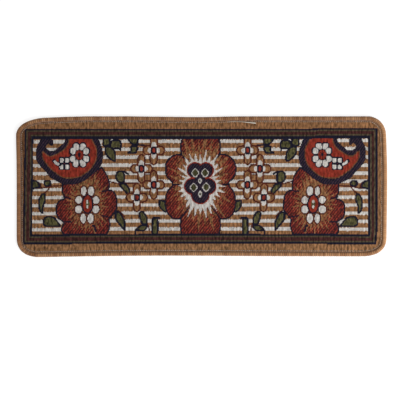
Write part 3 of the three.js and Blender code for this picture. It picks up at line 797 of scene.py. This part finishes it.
# Across each rib the colour is painted lighter and darker: partly the ground showing between the ribs, partly
# painted shade and highlight.
rib_shade = rescale(tree, ribs, 0.87, 1.13, start=0, end=1)
rib_mix = joined(tree, "MULTIPLY", rib_shade, rescale(tree, uneven, 0.35, 1.65))
thread_shade = add_node(tree, "ShaderNodeMix", "Result", {"Factor": strength, "A": 1.0, "B": rib_mix})
shade = joined(tree, "MULTIPLY", thread_shade, rescale(tree, fuzz, 0.86, 1.14))
height = joined(tree, "ADD", joined(tree, "ADD", ribs, picks), fuzz)
threads = bumped(tree, height, 0.5, 0.15 * MM)
tree.links.new(shaded(tree, dyed, shade), shader.inputs["Base Color"])
tree.links.new(threads, shader.inputs["Normal"])
shader.inputs["Roughness"].default_value = 0.93
shader.inputs["Specular IOR Level"].default_value = 0.1
shader.inputs["Sheen Weight"].default_value = 0.03
shader.inputs["Sheen Roughness"].default_value = 0.5
cloth.materials.append(wool)
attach(face, "root")
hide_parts("woven_face")


# The seam is a line of pale, greyish lockstitch in the cloth, just inside the binding, that holds the turned
# edge down. It is painted darker at the left end, as painted shade, and on the upper side a loose end lies
# along it.
STITCH_PITCH = 3.6
STITCH_LENGTH = 3.1
THREAD_RADIUS = 0.7
TWIST_PITCH = 0.9
LOOSE_END = [(44, 113.4, 5.0), (54, 113.9, 5.4), (63, 113.8, 5.2), (73, 113.2, 5.7), (83, 112.3, 5.6),
             (91, 111.6, 5.7), (95, 111.0, 5.4)]
LOOSE_RADII = [0.2, 0.3, 0.18, 0.4, 0.75, 1.1, 0.7]
edge, inward = mat_outline(EDGE_LENGTH)
seam_line = edge + inward * SEAM_INSET
seam_steps = np.hypot(*(np.roll(seam_line, -1, axis=0) - seam_line).T)
seam_run = np.concatenate([[0], np.cumsum(seam_steps)])
seam_loop = np.vstack([seam_line, seam_line[:1]])
stitches = round(seam_run[-1] / STITCH_PITCH)
bpy.ops.object.select_all(action="DESELECT")
bpy.ops.mesh.primitive_uv_sphere_add(segments=8, ring_count=5, radius=1)
stitch = bpy.context.object
stitch_corners = np.array([corner.co for corner in stitch.data.vertices])
stitch_faces = [tuple(polygon.vertices) for polygon in stitch.data.polygons]
bpy.data.objects.remove(stitch)
corners = []
faces = []
paleness = []
for number in range(stitches):
    run = (number + 0.5) / stitches * seam_run[-1]
    here = np.array([np.interp(run, seam_run, seam_loop[:, axis]) for axis in (0, 1)])
    ahead = (run + 1) % seam_run[-1]
    there = np.array([np.interp(ahead, seam_run, seam_loop[:, axis]) for axis in (0, 1)])
    heading = math.atan2(*(there - here)[::-1]) + math.radians(6)
    long_way = np.array([math.cos(heading), math.sin(heading)])
    shaped = stitch_corners * [STITCH_LENGTH / 2, THREAD_RADIUS, THREAD_RADIUS * 0.9]
    flat = here + shaped[:, :1] * long_way + shaped[:, 1:2] * [-long_way[1], long_way[0]]
    start = len(corners)
    corners.extend(np.column_stack([flat, shaped[:, 2] + FACE_TOP + 0.05]).tolist())
    faces.extend(tuple(start + index for index in ring) for ring in stitch_faces)
    # The stitches are painted darker towards the left end: painted shade.
    left_end_shade = min(max((here[0] + 305) / 60, 0.75), 1)
    paleness.extend([(0.17 + 0.27 * grain(number, 3.0)) * left_end_shade] * len(stitch_corners))

# The loose end is one strand, thinner and thicker along its length, and closed at both ends.
SIDES = 8
strand = curve_through(LOOSE_END, 6)
radii = np.interp(np.linspace(0, 1, len(strand)), np.linspace(0, 1, len(LOOSE_RADII)), LOOSE_RADII)
start = len(corners)
for (x, y, z), radius in zip(strand, radii):
    for side in range(SIDES):
        angle = side / SIDES * 2 * math.pi
        corners.append((x, y + radius * math.cos(angle), z + 0.7 * radius * math.sin(angle)))
        paleness.append(1.0)
for ring in range(len(strand) - 1):
    for side in range(SIDES):
        low = start + ring * SIDES
        after = (side + 1) % SIDES
        faces.append((low + side, low + SIDES + side, low + SIDES + after, low + after))
faces.append(tuple(start + side for side in range(SIDES)))
faces.append(tuple(start + (len(strand) - 1) * SIDES + side for side in reversed(range(SIDES))))
stitching = bpy.data.meshes.new("seam_stitches")
stitching.from_pydata((np.array(corners) * MM).tolist(), [], faces)
pale = stitching.attributes.new("paleness", "FLOAT", "POINT")
pale.data.foreach_set("value", paleness)
seam = bpy.data.objects.new("seam_stitches", stitching)
bpy.context.collection.objects.link(seam)


def smooth_outward(mesh, weld=0.0):
    """Welds the corners that lie within a distance, turns the faces outward and smooths them."""
    work = bmesh.new()
    work.from_mesh(mesh)
    if weld:
        bmesh.ops.remove_doubles(work, verts=work.verts, dist=weld)
    bmesh.ops.recalc_face_normals(work, faces=work.faces)
    for piece_face in work.faces:
        piece_face.smooth = True
    work.to_mesh(mesh)
    work.free()


smooth_outward(stitching)

# Spun polyester thread: paler than the cloth, twisted, with a soft shine.
polyester, tree, shader = new_material("spun_polyester_thread")
place = add_node(tree, "ShaderNodeTexCoord", "Object", {})
paler = add_node(tree, "ShaderNodeAttribute", "Fac", {}, attribute_name="paleness")
strands = bumped(tree, waves(tree, place, TWIST_PITCH, "DIAGONAL"), 0.4, 0.1 * MM)
tree.links.new(blend(tree, paler, "6A4E3A", "C4BDB0"), shader.inputs["Base Color"])
tree.links.new(strands, shader.inputs["Normal"])
shader.inputs["Roughness"].default_value = 0.7
shader.inputs["Sheen Weight"].default_value = 0.1
stitching.materials.append(polyester)
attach(seam, "root")
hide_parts("seam_thread")


# The binding is tan yarn overlocked tight round the mat's edge, in stitches side by side that stand square
# to it. It wraps the cloth's edge from the face, over the nose, to the underside. At the two short ends the
# stitches show less. Its colour is painted darker at the left end, as painted shade, and paler at the right
# and below, as painted light.
WRAP_PITCH = 3.75
WRAP_STEPS = 6
WRAP_GROOVE = 0.5
SECTION = [
    (7.8, 4.9), (7.35, 5.75), (6.0, 6.4), (3.9, 6.7), (2.1, 6.3), (0.75, 5.3), (0.15, 4.3), (0.0, 3.35),
    (0.15, 2.4), (0.75, 1.4), (2.1, 0.4), (3.9, 0.0), (6.0, 0.0), (7.8, 0.15),
]
INNER = [(7.8, 1.7), (1.5, 1.7), (1.5, 4.9)]
SECTION_MIDDLE = (4.2, 3.35)
stations = round(EDGE_LENGTH / WRAP_PITCH) * WRAP_STEPS
edge, inward = mat_outline(stations)
section = np.array(SECTION + INNER)
points_round = len(section)
binding, whole_station, whole_point = new_grid("overlocked_binding", stations, points_round)
band = binding.data
station = whole_station % stations
point = whole_point % points_round
phase = (station % WRAP_STEPS) / WRAP_STEPS
valley = 1 - np.sin(np.pi * (phase + 0.5 / WRAP_STEPS)) ** 0.7
wrap = station // WRAP_STEPS
outer = point < len(SECTION)
towards = SECTION_MIDDLE - section
towards /= np.hypot(*towards.T)[:, None]
shows = 0.4 + 0.6 * np.clip(abs(inward[station][:, 1]) * 1.3 - 0.2, 0, 1)
# The yarn is painted darker at the left end, as painted shade, and paler at the right end and below, as
# painted light.
side_light_and_shade = 0.3 * np.clip((abs(edge[station][:, 0]) - 285) / 35, 0, 1) * np.sign(edge[station][:, 0])
side_light_and_shade += 0.12 * np.clip(inward[station][:, 1], 0, 1)
sunk = np.where(outer, shows * (WRAP_GROOVE * valley + 0.18 * grain(wrap, 5.0)), 0)
profile = section[point] + towards[point] * sunk[:, None]
flat = edge[station] + inward[station] * profile[:, :1]
band.vertices.foreach_set("co", (np.column_stack([flat, profile[:, 1]]) * MM).ravel())
# The wrap attribute holds painted shade in the valleys between the stitches, the yarn's own tone with painted
# light and shade by side, and painted shade on the inner toe.
wrapped = band.color_attributes.new("wrap", "FLOAT_COLOR", "POINT")
# The inner toe, where the binding meets the face, is painted darker: painted shade.
toe = np.clip((profile[:, 0] - 5.6) / 2.2, 0, 1) * (profile[:, 1] > SECTION_MIDDLE[1])
yarn_paleness = 0.5 + shows * (grain(wrap, 9.0) - 0.5) + side_light_and_shade
opaque = np.ones(len(toe))
wrapped.data.foreach_set("color", np.column_stack([valley * shows, yarn_paleness, toe, opaque]).ravel())

# The binding's own map: its length in rows, with its girth across each row.
MAP_ROWS = 8
row_stations = math.ceil(stations / MAP_ROWS)
spread = band.uv_layers.new(name="OFBake")
for polygon in band.polygons:
    lowest = min(whole_station[i] for i in polygon.vertices)
    map_row = lowest // row_stations
    for loop in polygon.loop_indices:
        index = band.loops[loop].vertex_index
        u = 0.01 + 0.98 * (whole_station[index] - map_row * row_stations) / row_stations
        v = (map_row + 0.05 + 0.9 * whole_point[index] / points_round) / MAP_ROWS
        spread.data[loop].uv = (u, v)
smooth_outward(band, weld=0.01 * MM)

# Overlocking yarn is a fluffy three ply: tan, painted darker down between the stitches as painted shade,
# and matt with a faint sheen.
overlock, tree, shader = new_material("overlocked_tan_yarn")
place = add_node(tree, "ShaderNodeTexCoord", "Object", {})
wrap_colour = add_node(tree, "ShaderNodeAttribute", "Color", {}, attribute_name="wrap")
down = add_node(tree, "ShaderNodeSeparateColor", "Red", {"Color": wrap_colour})
each_wrap = down.node.outputs["Green"]
shade_at_toe = down.node.outputs["Blue"]
fluff = add_node(tree, "ShaderNodeTexNoise", "Fac", {"Vector": place, "Scale": 700, "Detail": 3.0})
soiling = add_node(tree, "ShaderNodeTexNoise", "Fac", {"Vector": place, "Scale": 16, "Detail": 3.0})
# Painted shade: the valleys between the stitches are blended towards a dark brown.
valley_shaded = blend(tree, down, blend(tree, each_wrap, "80522E", "B0845C"), "42271A")
# Painted shade darkens the inner toe.
turned = blend(tree, shade_at_toe, valley_shaded, "5E3D25")
shade = joined(tree, "MULTIPLY", rescale(tree, fluff, 0.90, 1.08), rescale(tree, soiling, 0.94, 1.04))
tree.links.new(shaded(tree, turned, shade), shader.inputs["Base Color"])
tree.links.new(bumped(tree, fluff, 0.5, 0.15 * MM), shader.inputs["Normal"])
shader.inputs["Roughness"].default_value = 0.9
shader.inputs["Specular IOR Level"].default_value = 0.2
shader.inputs["Sheen Weight"].default_value = 0.3
shader.inputs["Sheen Roughness"].default_value = 0.5
band.materials.append(overlock)
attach(binding, "root")
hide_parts("edge_binding")
